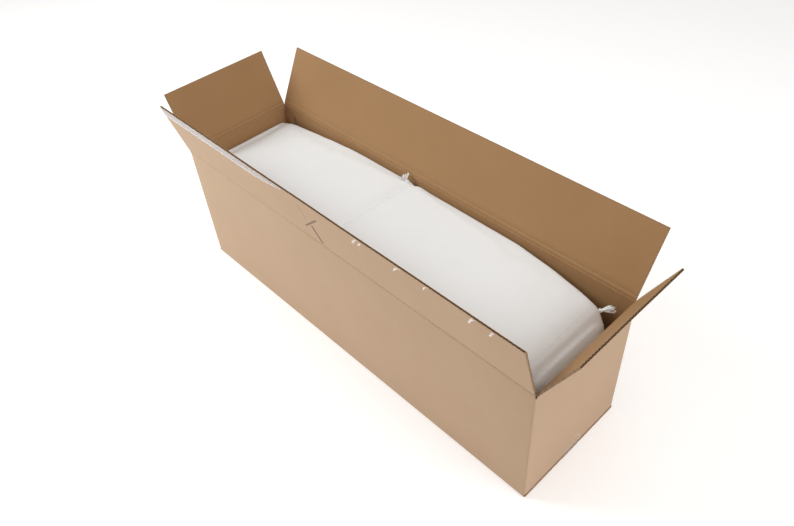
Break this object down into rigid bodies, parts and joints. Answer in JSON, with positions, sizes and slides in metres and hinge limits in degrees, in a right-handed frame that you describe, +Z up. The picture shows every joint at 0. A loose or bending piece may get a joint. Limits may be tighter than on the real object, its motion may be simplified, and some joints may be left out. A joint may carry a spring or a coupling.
{
  "type": "memory foam mattress",
  "caption": "Memory foam mattress squeezed flat, rolled and tied in a white fabric sack, lying in its long corrugated carton with the four lid flaps open.",
  "frame": {"origin": "middle of the underside, on the closing tape under the carton's bottom seam", "axes": "+X along the carton to its right end, +Y from its front to its back, +Z up"},
  "size_m": [1.143, 0.3847, 0.4541],
  "materials": {
    "kraft_board": "matte",
    "clear_tape": "gloss",
    "sack_fabric": "matte",
    "clear_film": "gloss",
    "cover_fabric": "matte",
    "sleeve_fabric": "matte",
    "memory_foam": "matte",
    "support_foam": "matte",
    "zip_nylon": "satin",
    "zip_metal": "satin",
    "label_satin": "satin",
    "tie_film": "satin"
  },
  "bodies": {
    "carton": {"front_panel": "kraft_board", "back_panel": "kraft_board", "left_end_panel": "kraft_board", "right_end_panel": "kraft_board", "glue_tab": "kraft_board", "bottom_front_flap": "kraft_board", "bottom_back_flap": "kraft_board", "bottom_left_flap": "kraft_board", "bottom_right_flap": "kraft_board", "bottom_tape": "clear_tape", "bottom_tape_left_end": "clear_tape", "bottom_tape_right_end": "clear_tape"},
    "front_flap": {"top_front_flap": "kraft_board", "top_tape_remnant": "clear_tape"},
    "back_flap": {"top_back_flap": "kraft_board"},
    "left_flap": {"top_left_flap": "kraft_board"},
    "right_flap": {"top_right_flap": "kraft_board"},
    "mattress": {"sack": "sack_fabric", "vacuum_film": "clear_film", "cover_base_panel": "cover_fabric", "cover_top_panel": "cover_fabric", "cover_left_border": "cover_fabric", "cover_right_border": "cover_fabric", "cover_foot_border": "cover_fabric", "cover_head_border": "cover_fabric", "core_sleeve": "sleeve_fabric", "memory_foam": "memory_foam", "support_foam": "support_foam", "cover_zip": "zip_nylon", "zip_slider": "zip_metal", "zip_pull": "zip_metal", "care_label": "label_satin", "waist_tie": "tie_film", "waist_knot": "tie_film", "end_tie": "tie_film", "end_knot": "tie_film"}
  },
  "joints": [
    {"name": "front_flap_crease", "type": "hinge", "parent": "carton", "child": "front_flap", "pos_m": [0, -0.1413, 0.317], "axis": [1, 0, 0], "range_deg": [-105, 155]},
    {"name": "back_flap_crease", "type": "hinge", "parent": "carton", "child": "back_flap", "pos_m": [0, 0.1413, 0.317], "axis": [-1, 0, 0], "range_deg": [-117.5, 142.5]},
    {"name": "left_flap_crease", "type": "hinge", "parent": "carton", "child": "left_flap", "pos_m": [-0.5103, 0, 0.3127], "axis": [0, -1, 0], "range_deg": [-114.5, 145.5]},
    {"name": "right_flap_crease", "type": "hinge", "parent": "carton", "child": "right_flap", "pos_m": [0.5103, 0, 0.3127], "axis": [0, 1, 0], "range_deg": [-117, 143]},
    {"name": "mattress_lift", "type": "slide", "parent": "carton", "child": "mattress", "axis": [0, 0, 1], "range_m": [0, 0.46]}
  ]
}
